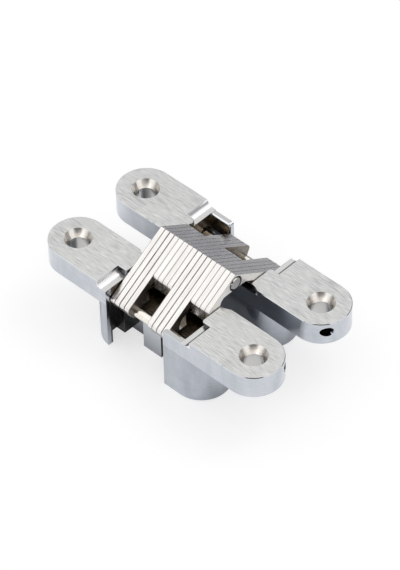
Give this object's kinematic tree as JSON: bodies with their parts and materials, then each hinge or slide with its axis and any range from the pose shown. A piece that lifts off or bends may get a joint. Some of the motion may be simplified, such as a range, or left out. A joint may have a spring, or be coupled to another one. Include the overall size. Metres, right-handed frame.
{
  "type": "concealed door hinge",
  "caption": "Concealed door hinge opened flat: cast leaves with countersunk screw holes, joined by crossed stacks of link plates on pins, so that the leaves fold face to face.",
  "frame": {"origin": "middle of the hinge, on the surface that the two leaves stand on", "axes": "+X along the leaves, +Y from leaf A to leaf B, +Z out of the face plates"},
  "size_m": [0.117, 0.0616, 0.0428],
  "materials": {
    "satin_casting": "satin brushed face, smooth sides",
    "link_steel": "punched and tumbled, plated",
    "pin_steel": "bright turned"
  },
  "bodies": {
    "leaf_a": {"leaf_a": "satin_casting", "pivot_pin_a": "pin_steel"},
    "link_set_2": {"link_plate_05": "link_steel", "link_plate_06": "link_steel", "link_plate_07": "link_steel", "link_plate_08": "link_steel", "link_plate_13": "link_steel", "link_plate_14": "link_steel", "link_plate_15": "link_steel", "link_plate_16": "link_steel", "slide_pin_b": "pin_steel"},
    "link_set_1": {"link_plate_01": "link_steel", "link_plate_02": "link_steel", "link_plate_03": "link_steel", "link_plate_04": "link_steel", "link_plate_09": "link_steel", "link_plate_10": "link_steel", "link_plate_11": "link_steel", "link_plate_12": "link_steel", "slide_pin_a": "pin_steel", "centre_pin": "pin_steel"},
    "leaf_b": {"leaf_b": "satin_casting", "pivot_pin_b": "pin_steel"}
  },
  "joints": [
    {"name": "fold", "type": "hinge", "parent": "leaf_a", "child": "link_set_2", "pos_m": [0, -0.01178, 0.02828], "axis": [1, 0, 0], "range_deg": [0, 121.09]},
    {"name": "cross", "type": "hinge", "parent": "link_set_2", "child": "link_set_1", "pos_m": [0, 0, 0.03836], "axis": [1, 0, 0], "range_deg": [-62.19, 0]},
    {"name": "leaf_b_turn", "type": "hinge", "parent": "link_set_1", "child": "leaf_b", "pos_m": [0, 0.01178, 0.02828], "axis": [1, 0, 0], "range_deg": [0, 121.09]}
  ],
  "couplings": [
    {"joint": "cross", "follows": "fold", "ratio": -0.5135},
    {"joint": "leaf_b_turn", "follows": "fold", "ratio": 1}
  ]
}
